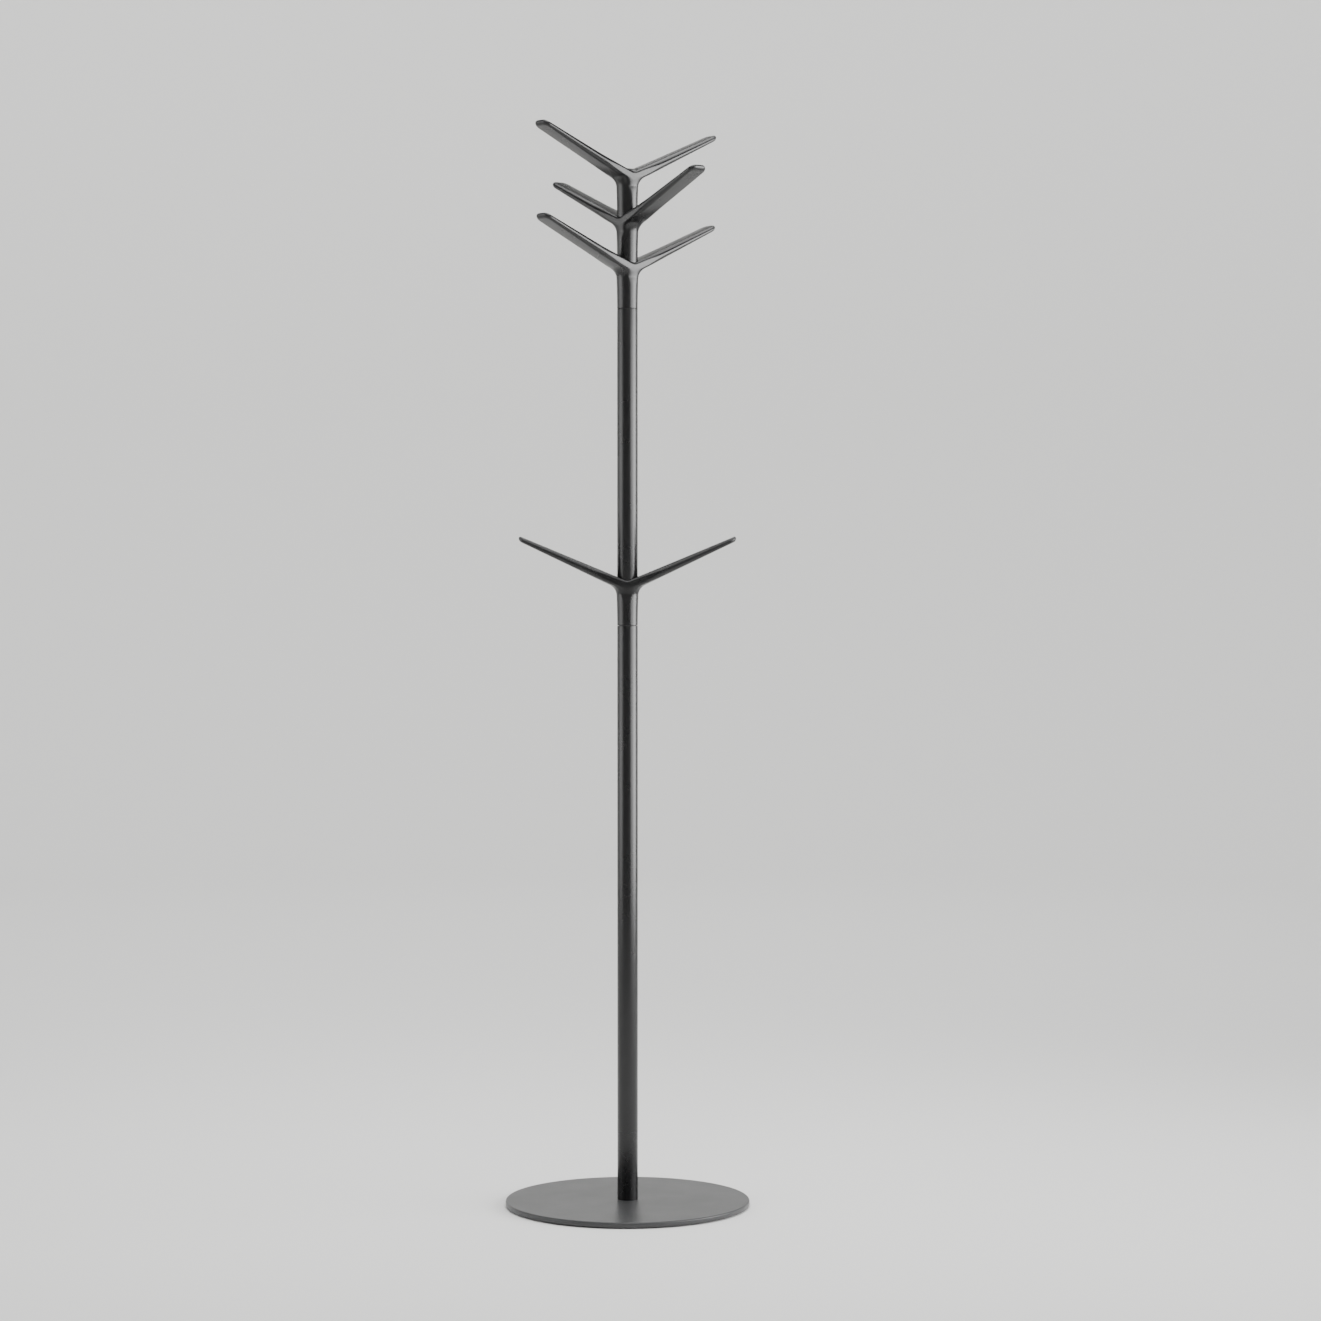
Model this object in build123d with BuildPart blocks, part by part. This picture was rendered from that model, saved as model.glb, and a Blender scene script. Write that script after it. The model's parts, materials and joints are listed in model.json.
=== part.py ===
"""Standing coat rack: round base plate, two post tubes on an inner mast, four turning hook hubs.

Millimetres, +Z up. The origin is on the floor under the middle of the base plate.
Each hook hub has two opposed paddle arms and turns on the mast about the vertical axis.
"""
from build123d import *
import os
from math import cos, hypot, radians, sqrt, tan

os.makedirs("parts", exist_ok=True)

# ---------------------------------------------------------------- driving dimensions
PLATE_DIA = 380.0
PLATE_T = 8.0
PLATE_EDGE_R = 2.0
PLATE_EDGE_BREAK = 0.8
SMALL_BREAK = 0.3
PAD_DIA = 24.0
PAD_T = 2.0
PAD_COUNT = 6
PAD_CIRCLE_R = 165.0

TUBE_OD = 32.0
TUBE_WALL = 2.0
TUBE_ID = TUBE_OD - 2 * TUBE_WALL
MAST_OD = 20.0
MAST_WALL = 2.0
MAST_PROUD = 1.1                   # how far the mast stands above the top hub's bush
MAST_ID = MAST_OD - 2 * MAST_WALL

POST_FOOT_Z = PAD_T + PLATE_T      # top face of the base plate
LOWER_POST_TOP_Z = 903.5
UPPER_POST_TOP_Z = 1393.0

SEAM = 0.6                         # gap between a turning hub and the piece under it
RUNNING_GAP = 0.1                  # vertical play at each thrust washer
WASHER_T = 1.9
WASHER_OD = 26.6
WASHER_ID = 20.4
POCKET_T = 1.5                     # the washer's pocket in the piece above it

SOCKET_FLOOR_Z = 69.6              # hub heights count from the hub's own lower rim
SOCKET_DIA = 32.8
TOP_SINK = 5.0                     # the top hub's upper bush sits this much lower, to hide the nut
STACK_PITCH = SOCKET_FLOOR_Z + SEAM

SADDLE_Z = 68.8                    # where the two arm tops would meet, before rounding
SADDLE_ROUND = 2.0                 # how far the round saddle stands above that point
ARM_TOP_ANGLE = 22.6
ARM_UNDER_ANGLE = 25.7
ARM_UNDER_ROOT = (16.9, 57.4)      # where the underside line would meet the neck
ARM_UNDER_R = 19.0
ARM_REACH = 168.6
ARM_ROOT_W = 36.0
ARM_TIP_W = 33.0
ARM_CORNER_R = 10.0                # corners of the tip, seen from above
ARM_NOSE_R = 3.6                   # nose of the tip, seen from the side
ARM_STRAIGHT_X = 28.0              # beyond this the arm's top and underside are straight
ARM_FILLET_X = 21.0                # a point on the round fillet under the arm
ARM_WEB_X = 14.0                   # the arms' outline stops here, inside the neck
ARM_WEB_Z = SADDLE_Z - 8           # underside of the strip that joins the two arms
NECK_TOP_R = 18.6
NECK_SHOULDER_Z = 64.0
NECK_WAIST_SWELL = 0.5             # growth of the neck's radius half way up
NECK_CUT_X = 22.0

BUSH_BORE = MAST_OD + 0.1
BUSH_OD = 24.0
BUSH_FLANGE_OD = 28.0
BUSH_FLANGE_T = 2.0
BUSH_LENGTH = 18.0
RING_LENGTH = 20.0

SCREW_DIA = 12.0
SCREW_HEAD_DIA = 24.0
SCREW_CLEARANCE = 0.2
SCREW_HEAD_RECESS = 0.4
HEX_SOCKET_R = 4.6
HEX_SOCKET_DEPTH = 4.5
SCREW_TIP_Z = 36.0
DOWEL_DIA = 3.0
DOWEL_DEPTH = 4.5
DOWEL_CIRCLE_R = 11.5
DOWEL_COUNT = 2
PLUG_BODY_H = 22.0
PLUG_SPIGOT_H = 24.0
PLUG_THREAD_RUNOUT = 10.0          # how far the tapped hole runs into the spigot

STUD_DIA = 10.0
STUD_PLUG_H = 24.0
PRESSURE_WASHER_T = 1.0
SPRING_WASHER_T = 1.2
NUT_FLATS = 17.0
NUT_T = 4.5
STUD_CHAMFER = 0.8
SPRING_WASHER_OD = 18.0
CAP_DIA = 32.2
CAP_CAVITY_DIA = 29.0
CAP_RISE = 6.6                     # crown of the cap above the point where the arm tops meet
CAP_CROWN_DROP = 2.2               # how much the crown falls from its middle to the cap's edge
CAP_ROOF_T = 1.4

# ---------------------------------------------------------------- heights that follow
MID_HUB_Z = LOWER_POST_TOP_Z + SEAM
UPPER_POST_FOOT_Z = MID_HUB_Z + SOCKET_FLOOR_Z + SEAM
THIRD_HUB_Z = UPPER_POST_TOP_Z + SEAM
HUBS = {                           # name: (height of the lower rim, direction of the arms)
    "mid": (MID_HUB_Z, 0.0),
    "third": (THIRD_HUB_Z, 39.0),
    "second": (THIRD_HUB_Z + STACK_PITCH, -49.0),
    "top": (THIRD_HUB_Z + 2 * STACK_PITCH, 38.0),
}
TOP_FLANGE_Z = HUBS["top"][0] + SOCKET_FLOOR_Z - TOP_SINK
MAST_TOP_Z = TOP_FLANGE_Z + MAST_PROUD
PRESSURE_WASHER_Z = TOP_FLANGE_Z + RUNNING_GAP + WASHER_T
SPRING_WASHER_Z = PRESSURE_WASHER_Z + PRESSURE_WASHER_T
NUT_Z = SPRING_WASHER_Z + SPRING_WASHER_T


def save(piece, name):
    """Label a finished solid and write its STEP file."""
    piece.label = name
    export_step(piece, f"parts/{name}.step")


def ring(outer_dia, inner_dia, height, z):
    """A plain ring, tube or washer standing on height z."""
    with BuildPart() as made:
        with BuildSketch(Plane.XY.offset(z)):
            Circle(outer_dia / 2)
            Circle(inner_dia / 2, mode=Mode.SUBTRACT)
        extrude(amount=height)
    return made.part


# ---------------------------------------------------------------- base
def base_plate():
    """Steel disc with a rounded rim and a countersunk hole that opens downwards."""
    with BuildPart() as plate:
        with BuildSketch(Plane.XY.offset(PAD_T)):
            Circle(PLATE_DIA / 2)
        extrude(amount=PLATE_T)
        fillet(plate.edges().group_by(Axis.Z)[-1], radius=PLATE_EDGE_R)
        chamfer(plate.edges().group_by(Axis.Z)[0], length=PLATE_EDGE_BREAK)
        with Locations(Plane.XY.offset(PAD_T).rotated((180, 0, 0))):
            CounterSinkHole(
                radius=SCREW_DIA / 2 + SCREW_CLEARANCE,
                counter_sink_radius=SCREW_HEAD_DIA / 2 + 2 * SCREW_CLEARANCE,
                counter_sink_angle=90,
            )
        with BuildSketch(Plane.XY.offset(POST_FOOT_Z)):
            with PolarLocations(DOWEL_CIRCLE_R, DOWEL_COUNT):
                Circle(DOWEL_DIA / 2)
        extrude(amount=-DOWEL_DEPTH, mode=Mode.SUBTRACT)
    return plate.part


def floor_pads():
    """Self-adhesive pads that hold the plate off the floor, as separate solids."""
    with BuildPart() as pads:
        with BuildSketch():
            with PolarLocations(PAD_CIRCLE_R, PAD_COUNT):
                Circle(PAD_DIA / 2)
        extrude(amount=PAD_T)
        chamfer(pads.edges().group_by(Axis.Z)[0], length=SMALL_BREAK)
    return pads.part


def base_dowels():
    """Two pins that stop the foot plug from turning on the plate."""
    with BuildPart() as dowels:
        with BuildSketch(Plane.XY.offset(POST_FOOT_Z - DOWEL_DEPTH)):
            with PolarLocations(DOWEL_CIRCLE_R, DOWEL_COUNT):
                Circle(DOWEL_DIA / 2)
        extrude(amount=2 * DOWEL_DEPTH)
    return dowels.part


def base_screw():
    """Countersunk screw with a hexagon socket, driven up through the plate."""
    head_z = PAD_T + SCREW_HEAD_RECESS
    cone_h = (SCREW_HEAD_DIA - SCREW_DIA) / 2
    with BuildPart() as screw:
        with BuildSketch(Plane.XZ):
            with BuildLine():
                Polyline(
                    (0, head_z),
                    (SCREW_HEAD_DIA / 2, head_z),
                    (SCREW_HEAD_DIA / 2 - cone_h, head_z + cone_h),
                    (SCREW_DIA / 2, SCREW_TIP_Z - 1),
                    (SCREW_DIA / 2 - 1, SCREW_TIP_Z),
                    (0, SCREW_TIP_Z),
                    close=True,
                )
            make_face()
        revolve(axis=Axis.Z)
        with BuildSketch(Plane.XY.offset(head_z)):
            RegularPolygon(radius=HEX_SOCKET_R, side_count=6)
        extrude(amount=HEX_SOCKET_DEPTH, mode=Mode.SUBTRACT)
    return screw.part


def foot_plug():
    """Turned steel plug: its body centres the lower post, its spigot carries the mast."""
    with BuildPart() as plug:
        with BuildSketch(Plane.XY.offset(POST_FOOT_Z)):
            Circle(TUBE_ID / 2)
        extrude(amount=PLUG_BODY_H)
        with BuildSketch(Plane.XY.offset(POST_FOOT_Z + PLUG_BODY_H)):
            Circle(MAST_ID / 2)
        extrude(amount=PLUG_SPIGOT_H)
        with BuildSketch(Plane.XY.offset(POST_FOOT_Z)):
            Circle(SCREW_DIA / 2)
        extrude(amount=PLUG_BODY_H + PLUG_THREAD_RUNOUT, mode=Mode.SUBTRACT)
        with BuildSketch(Plane.XY.offset(POST_FOOT_Z)):
            with PolarLocations(DOWEL_CIRCLE_R, DOWEL_COUNT):
                Circle(DOWEL_DIA / 2)
        extrude(amount=DOWEL_DEPTH, mode=Mode.SUBTRACT)
    return plug.part


# ---------------------------------------------------------------- hook hub
def arm_top(x):
    """Height of an arm's top face at distance x from the axis; the two arms meet in a round saddle."""
    rise = x * tan(radians(ARM_TOP_ANGLE))
    return SADDLE_Z + hypot(rise, SADDLE_ROUND)


def arm_under(x):
    """Height of an arm's underside: a straight slope that a round fillet joins to the neck."""
    root_x, root_z = ARM_UNDER_ROOT
    turn = radians(90 - ARM_UNDER_ANGLE)
    tangent = ARM_UNDER_R * tan(turn / 2)
    if x >= root_x + tangent * cos(radians(ARM_UNDER_ANGLE)):
        return root_z + (x - root_x) * tan(radians(ARM_UNDER_ANGLE))
    centre_x = root_x + ARM_UNDER_R
    return root_z - tangent + sqrt(ARM_UNDER_R**2 - (centre_x - max(x, root_x)) ** 2)


def hub_neck():
    """Round neck that widens upwards from the tube's diameter and ends in the saddle."""
    foot = (TUBE_OD / 2, 0)
    waist = (TUBE_OD / 2 + NECK_WAIST_SWELL, NECK_SHOULDER_Z / 2)
    shoulder = (NECK_TOP_R, NECK_SHOULDER_Z)
    top_z = arm_top(NECK_TOP_R)
    saddle = [(x, arm_top(x)) for x in (-NECK_CUT_X, -11, -4, 0, 4, 11, NECK_CUT_X)]
    with BuildPart() as neck:
        with BuildSketch(Plane.YZ):
            with BuildLine():
                ThreePointArc(foot, waist, shoulder)
                Polyline(shoulder, (NECK_TOP_R, top_z), (0, top_z), (0, 0), foot)
            make_face()
        revolve(axis=Axis.Z)
        with BuildSketch(Plane.XZ):
            with BuildLine():
                Spline(*saddle)
                Polyline(saddle[-1], (NECK_CUT_X, top_z + 5), (-NECK_CUT_X, top_z + 5), saddle[0])
            make_face()
        extrude(amount=NECK_TOP_R + 5, both=True, mode=Mode.SUBTRACT)
        chamfer(neck.edges().group_by(Axis.Z)[0], length=SMALL_BREAK)
    return neck.part


def both_arms():
    """The two paddle arms in one piece: their side outline cut to their outline from above."""
    root_x, root_z = ARM_UNDER_ROOT
    half_tip = ARM_TIP_W / 2
    half_root = ARM_ROOT_W / 2
    nose_x = ARM_REACH - ARM_NOSE_R
    nose_z = (arm_top(nose_x) + arm_under(nose_x)) / 2
    root_low = root_z - ARM_UNDER_R * tan(radians(90 - ARM_UNDER_ANGLE) / 2)
    with BuildPart() as arms:
        with BuildSketch(Plane.XZ):
            for side in (1, -1):
                with BuildLine():
                    saddle = Spline(*[(side * x, arm_top(x)) for x in (0, 4, 11, ARM_STRAIGHT_X)])
                    top = Line(saddle @ 1, (side * nose_x, arm_top(nose_x)))
                    nose_low = (side * nose_x, arm_under(nose_x))
                    nose = ThreePointArc(top @ 1, (side * ARM_REACH, nose_z), nose_low)
                    under = Line(nose @ 1, (side * ARM_STRAIGHT_X, arm_under(ARM_STRAIGHT_X)))
                    fillet_mid = (side * ARM_FILLET_X, arm_under(ARM_FILLET_X))
                    root = ThreePointArc(under @ 1, fillet_mid, (side * root_x, root_low))
                    Polyline(
                        root @ 1,
                        (side * ARM_WEB_X, root_low),
                        (side * ARM_WEB_X, ARM_WEB_Z),
                        (0, ARM_WEB_Z),
                        saddle @ 0,
                    )
                make_face()
        extrude(amount=half_root + 2, both=True)
        with BuildSketch():
            with BuildLine():
                FilletPolyline(
                    (ARM_REACH, -half_tip),
                    (ARM_REACH, half_tip),
                    (0, half_root),
                    (-ARM_REACH, half_tip),
                    (-ARM_REACH, -half_tip),
                    (0, -half_root),
                    radius=[ARM_CORNER_R, ARM_CORNER_R, 0, ARM_CORNER_R, ARM_CORNER_R, 0],
                    close=True,
                )
            make_face()
        extrude(amount=SADDLE_Z + ARM_REACH, mode=Mode.INTERSECT)
    return arms.part


def hook_hub(flange_top_z):
    """Neck with two opposed arms, bored for the bushes, with a socket on top and a pocket below."""
    with BuildPart() as hub:
        add(both_arms())
        add(hub_neck())
        with BuildSketch():
            Circle(BUSH_OD / 2)
        extrude(amount=SADDLE_Z + 20, mode=Mode.SUBTRACT)
        with BuildSketch(Plane.XY.offset(SOCKET_FLOOR_Z)):
            Circle(SOCKET_DIA / 2)
        extrude(amount=20, mode=Mode.SUBTRACT)
        with BuildSketch():
            Circle(BUSH_FLANGE_OD / 2)
        extrude(amount=POCKET_T + BUSH_FLANGE_T, mode=Mode.SUBTRACT)
        with BuildSketch(Plane.XY.offset(flange_top_z - BUSH_FLANGE_T)):
            Circle(BUSH_FLANGE_OD / 2)
        extrude(amount=SOCKET_FLOOR_Z - flange_top_z + BUSH_FLANGE_T, mode=Mode.SUBTRACT)
    return hub.part


def bush(z, pointing):
    """Flanged nylon bush; the flange's outer face is at z and the sleeve runs into the hub."""
    plane = Plane((0, 0, z), x_dir=(1, 0, 0), z_dir=(0, 0, pointing))
    with BuildPart() as made:
        with BuildSketch(plane):
            Circle(BUSH_FLANGE_OD / 2)
            Circle(BUSH_BORE / 2, mode=Mode.SUBTRACT)
        extrude(amount=BUSH_FLANGE_T)
        with BuildSketch(plane.offset(BUSH_FLANGE_T)):
            Circle(BUSH_OD / 2)
            Circle(BUSH_BORE / 2, mode=Mode.SUBTRACT)
        extrude(amount=BUSH_LENGTH)
    return made.part


# ---------------------------------------------------------------- top of the mast
def mast_stud():
    """Turned plug in the mast's upper end with the threaded stud that the nut pulls on."""
    with BuildPart() as stud:
        with BuildSketch(Plane.XY.offset(MAST_TOP_Z - STUD_PLUG_H)):
            Circle(MAST_ID / 2)
        extrude(amount=STUD_PLUG_H)
        with BuildSketch(Plane.XY.offset(MAST_TOP_Z)):
            Circle(STUD_DIA / 2)
        extrude(amount=NUT_Z + NUT_T - MAST_TOP_Z)
        chamfer(stud.edges().group_by(Axis.Z)[-1], length=STUD_CHAMFER)
    return stud.part


def lock_nut():
    """Thin hexagon nut over the spring washer."""
    with BuildPart() as nut:
        with BuildSketch(Plane.XY.offset(NUT_Z)):
            RegularPolygon(radius=NUT_FLATS / 2, side_count=6, major_radius=False)
            Circle(STUD_DIA / 2 + RUNNING_GAP / 2, mode=Mode.SUBTRACT)
        extrude(amount=NUT_T)
    return nut.part


def top_cap():
    """Low crowned cap in the top hub's socket, hollow over the nut."""
    foot_z = SOCKET_FLOOR_Z + RUNNING_GAP
    crown_z = SADDLE_Z + CAP_RISE
    edge_z = crown_z - CAP_CROWN_DROP
    with BuildPart() as cap:
        with BuildSketch(Plane.XZ):
            with BuildLine():
                half_way = (CAP_DIA / 4, crown_z - CAP_CROWN_DROP / 4)
                ThreePointArc((0, crown_z), half_way, (CAP_DIA / 2, edge_z))
                Polyline(
                    (CAP_DIA / 2, edge_z),
                    (CAP_DIA / 2, foot_z),
                    (CAP_CAVITY_DIA / 2, foot_z),
                    (CAP_CAVITY_DIA / 2, edge_z - CAP_ROOF_T),
                    (CAP_CAVITY_DIA / 2 - 2, crown_z - CAP_ROOF_T),
                    (0, crown_z - CAP_ROOF_T),
                    (0, crown_z),
                )
            make_face()
        revolve(axis=Axis.Z)
    return cap.part


# ---------------------------------------------------------------- build and write every piece
save(base_plate(), "base_plate")
save(floor_pads(), "floor_pads")
save(base_screw(), "base_screw")
save(base_dowels(), "base_dowels")
save(foot_plug(), "foot_plug")

mast_foot_z = POST_FOOT_Z + PLUG_BODY_H
save(ring(MAST_OD, MAST_ID, MAST_TOP_Z - mast_foot_z, mast_foot_z), "mast")
save(ring(TUBE_OD, TUBE_ID, LOWER_POST_TOP_Z - POST_FOOT_Z, POST_FOOT_Z), "lower_post")
save(ring(TUBE_OD, TUBE_ID, UPPER_POST_TOP_Z - UPPER_POST_FOOT_Z, UPPER_POST_FOOT_Z), "upper_post")

centring_rings = {
    "lower_post_ring": LOWER_POST_TOP_Z - RING_LENGTH,
    "upper_post_foot_ring": UPPER_POST_FOOT_Z + POCKET_T,
    "upper_post_head_ring": UPPER_POST_TOP_Z - RING_LENGTH,
}
for ring_name, ring_z in centring_rings.items():
    save(ring(TUBE_ID, WASHER_ID - 0.2, RING_LENGTH, ring_z), ring_name)

thrust_faces = {
    "thrust_washer_under_mid": LOWER_POST_TOP_Z,
    "thrust_washer_over_mid": MID_HUB_Z + SOCKET_FLOOR_Z,
    "thrust_washer_under_third": UPPER_POST_TOP_Z,
    "thrust_washer_under_second": HUBS["third"][0] + SOCKET_FLOOR_Z,
    "thrust_washer_under_top": HUBS["second"][0] + SOCKET_FLOOR_Z,
    "thrust_washer_over_top": TOP_FLANGE_Z,
}
for washer_name, face_z in thrust_faces.items():
    save(ring(WASHER_OD, WASHER_ID, WASHER_T, face_z + RUNNING_GAP), washer_name)

for hub_name, (rim_z, direction) in HUBS.items():
    flange_top_z = SOCKET_FLOOR_Z - TOP_SINK if hub_name == "top" else SOCKET_FLOOR_Z
    place = Location((0, 0, rim_z), (0, 0, direction))
    save(hook_hub(flange_top_z).moved(place), f"hook_hub_{hub_name}")
    save(bush(rim_z + POCKET_T, 1), f"lower_bush_{hub_name}")
    save(bush(rim_z + flange_top_z, -1), f"upper_bush_{hub_name}")

save(mast_stud(), "mast_stud")
save(ring(WASHER_OD, STUD_DIA + 0.5, PRESSURE_WASHER_T, PRESSURE_WASHER_Z), "pressure_washer")
save(ring(SPRING_WASHER_OD, STUD_DIA + 0.3, SPRING_WASHER_T, SPRING_WASHER_Z), "spring_washer")
save(lock_nut(), "lock_nut")
save(top_cap().moved(Location((0, 0, HUBS["top"][0]))), "top_cap")
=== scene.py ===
# %% [markdown]
# # A standing coat rack, dressed around its CAD frame
#
# The rack is a slim post on a round steel plate. Four double-armed hooks turn about the post, three of
# them stacked at the top and one at mid height. The CAD model fixes every size, place and joint. This
# notebook gives each visible piece a mesh and a finish that hold up close to the eye.

import json
from math import atan2, cos, degrees, pi, radians, sin, tan

import bpy
import numpy as np
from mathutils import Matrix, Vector


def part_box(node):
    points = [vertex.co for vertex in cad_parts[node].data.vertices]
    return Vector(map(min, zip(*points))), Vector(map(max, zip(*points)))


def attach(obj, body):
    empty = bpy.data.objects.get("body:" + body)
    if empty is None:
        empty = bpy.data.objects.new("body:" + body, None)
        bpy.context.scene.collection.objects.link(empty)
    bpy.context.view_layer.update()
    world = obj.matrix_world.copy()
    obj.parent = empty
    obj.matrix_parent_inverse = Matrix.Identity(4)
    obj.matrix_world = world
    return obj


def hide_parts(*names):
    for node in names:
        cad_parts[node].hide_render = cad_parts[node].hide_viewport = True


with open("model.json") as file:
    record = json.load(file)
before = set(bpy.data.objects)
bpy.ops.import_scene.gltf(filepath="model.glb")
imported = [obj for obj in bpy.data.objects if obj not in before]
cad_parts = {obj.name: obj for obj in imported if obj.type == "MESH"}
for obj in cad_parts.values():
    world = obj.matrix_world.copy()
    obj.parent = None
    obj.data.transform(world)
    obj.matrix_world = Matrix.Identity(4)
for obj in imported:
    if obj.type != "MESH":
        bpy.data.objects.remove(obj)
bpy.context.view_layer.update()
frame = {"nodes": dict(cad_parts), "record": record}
NODES = frame["nodes"]
MM = 0.001

# %% [markdown]
# ## Reading sizes from the frame
#
# Nothing here is placed by eye. A node's box gives its lowest and highest corners in metres, so the
# height of a seam or the radius of a tube is read from the frame. The hooks point in four directions,
# and each direction is found from how the node's own points spread out about the post.

# %% Places and sizes


def low_high(node):
    """The node's lowest and highest z."""
    low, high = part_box(node)
    return low[2], high[2]


def outer_radius(node):
    """Half the node's width along X, for a round node on the post's axis."""
    low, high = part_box(node)
    return (high[0] - low[0]) / 2


def arm_direction(node):
    """Angle about the post, in radians, that the node's long way points in."""
    mesh = NODES[node].data
    points = np.empty(len(mesh.vertices) * 3)
    mesh.vertices.foreach_get("co", points)
    x, y = points.reshape(-1, 3)[:, :2].T
    return 0.5 * atan2(2 * np.mean(x * y), np.mean(x * x) - np.mean(y * y))


HOOKS = ["mid", "third", "second", "top"]
rim_height = {hook: low_high(f"hook_hub_{hook}")[0] for hook in HOOKS}
direction = {hook: arm_direction(f"hook_hub_{hook}") for hook in HOOKS}
REACH = outer_radius("hook_hub_mid")
HUB_HEIGHT = low_high("hook_hub_mid")[1] - rim_height["mid"]
for hook in HOOKS:
    print(hook, "rim", round(rim_height[hook], 4), "m, arms at", round(degrees(direction[hook]), 1), "deg")

# %% [markdown]
# ## Shared surface effects
#
# Powder paint is sprayed on as dry dust and baked until it flows together. Close up it is never flat:
# it has long shallow waves, called orange peel, and a finer grain where the dust did not quite level.
# Both could be modelled as real bumps, but at a tenth of a millimetre that would cost millions of
# faces, so one shader group makes the height and every painted or moulded piece uses it with its own
# values. A second group gives slow changes of gloss from handling and a trace of settled dust.

# %% Shader group helpers


def new_group(name, inputs, outputs):
    """An empty shader group with float or vector sockets, and its two end nodes."""
    group = bpy.data.node_groups.new(name, "ShaderNodeTree")
    for socket, kind, value in inputs:
        made = group.interface.new_socket(socket, in_out="INPUT", socket_type=kind)
        if value is not None:
            made.default_value = value
    for socket, kind in outputs:
        group.interface.new_socket(socket, in_out="OUTPUT", socket_type=kind)
    return group, group.nodes.new("NodeGroupInput"), group.nodes.new("NodeGroupOutput")


def math_node(tree, operation, first, second=None, clamp=False):
    """A Math node whose inputs are sockets or numbers; returns its output socket."""
    node = tree.nodes.new("ShaderNodeMath")
    node.operation = operation
    node.use_clamp = clamp
    for index, value in enumerate((first, second)):
        if value is None:
            continue
        if isinstance(value, (int, float)):
            node.inputs[index].default_value = value
        else:
            tree.links.new(value, node.inputs[index])
    return node.outputs[0]


def noise_node(tree, vector, scale, detail=2.0, roughness=0.5):
    """A 3D noise texture on the given coordinates; returns its value socket."""
    node = tree.nodes.new("ShaderNodeTexNoise")
    node.inputs["Detail"].default_value = detail
    node.inputs["Roughness"].default_value = roughness
    tree.links.new(vector, node.inputs["Vector"])
    if isinstance(scale, (int, float)):
        node.inputs["Scale"].default_value = scale
    else:
        tree.links.new(scale, node.inputs["Scale"])
    return node.outputs["Fac"]


# %% Paint texture group
PAINT_TEXTURE, ends_in, ends_out = new_group(
    "paint_texture",
    [
        ("Vector", "NodeSocketVector", None),
        ("Peel Scale", "NodeSocketFloat", 260.0),
        ("Peel Depth", "NodeSocketFloat", 0.6),
        ("Grain Scale", "NodeSocketFloat", 1500.0),
        ("Grain Depth", "NodeSocketFloat", 0.4),
    ],
    [("Height", "NodeSocketFloat")],
)
peel = noise_node(PAINT_TEXTURE, ends_in.outputs["Vector"], ends_in.outputs["Peel Scale"], 1.0)
grain = noise_node(PAINT_TEXTURE, ends_in.outputs["Vector"], ends_in.outputs["Grain Scale"], 2.0)
peel = math_node(PAINT_TEXTURE, "MULTIPLY", peel, ends_in.outputs["Peel Depth"])
grain = math_node(PAINT_TEXTURE, "MULTIPLY", grain, ends_in.outputs["Grain Depth"])
height = math_node(PAINT_TEXTURE, "ADD", peel, grain)
PAINT_TEXTURE.links.new(height, ends_out.inputs["Height"])

# %% Handling and dust group
HANDLING, ends_in, ends_out = new_group(
    "handling_and_dust",
    [
        ("Vector", "NodeSocketVector", None),
        ("Patch Scale", "NodeSocketFloat", 14.0),
        ("Low Roughness", "NodeSocketFloat", 0.34),
        ("High Roughness", "NodeSocketFloat", 0.46),
        ("Dust Amount", "NodeSocketFloat", 0.1),
    ],
    [("Roughness", "NodeSocketFloat"), ("Dust", "NodeSocketFloat")],
)
patch = noise_node(HANDLING, ends_in.outputs["Vector"], ends_in.outputs["Patch Scale"], 4.0, 0.6)
span = HANDLING.nodes.new("ShaderNodeMapRange")
HANDLING.links.new(patch, span.inputs["Value"])
span.inputs["From Min"].default_value = 0.3
span.inputs["From Max"].default_value = 0.7
HANDLING.links.new(ends_in.outputs["Low Roughness"], span.inputs["To Min"])
HANDLING.links.new(ends_in.outputs["High Roughness"], span.inputs["To Max"])
HANDLING.links.new(span.outputs["Result"], ends_out.inputs["Roughness"])
facing = HANDLING.nodes.new("ShaderNodeNewGeometry")
split = HANDLING.nodes.new("ShaderNodeSeparateXYZ")
HANDLING.links.new(facing.outputs["Normal"], split.inputs[0])
upward = math_node(HANDLING, "POWER", math_node(HANDLING, "MAXIMUM", split.outputs["Z"], 0.0), 3.0)
specks = noise_node(HANDLING, ends_in.outputs["Vector"], 420.0, 6.0, 0.75)
settled = math_node(HANDLING, "MULTIPLY", upward, math_node(HANDLING, "SUBTRACT", specks, 0.35, True))
settled = math_node(HANDLING, "MULTIPLY", settled, ends_in.outputs["Dust Amount"], True)
HANDLING.links.new(settled, ends_out.inputs["Dust"])
print("groups", PAINT_TEXTURE.name, HANDLING.name)

# %% [markdown]
# ## Finishes
#
# The post, the hooks and the plate are all dark satin powder paint, but not the same one: the plate has
# the coarser, slightly greyer texture that hides scuffs near the floor, and the hooks are smoother,
# because hands and coat loops rub them. One function makes all three from a few named values. Bare
# steel and zinc sit inside the rack and share a short function; the nylon uses the paint's function.

# %% Painted and moulded finishes
DUST_COLOUR = (0.33, 0.32, 0.30, 1.0)


def start_material(name):
    """A material with its Principled shader and the object's own coordinates."""
    material = bpy.data.materials.new(name)
    material.use_nodes = True
    tree = material.node_tree
    shader = tree.nodes["Principled BSDF"]
    place = tree.nodes.new("ShaderNodeTexCoord").outputs["Object"]
    return material, tree, shader, place


def put_group(tree, group, place, values):
    """One of the shared groups in a material, with its own values."""
    node = tree.nodes.new("ShaderNodeGroup")
    node.node_tree = group
    tree.links.new(place, node.inputs["Vector"])
    for socket, value in values.items():
        node.inputs[socket].default_value = value
    return node


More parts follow.
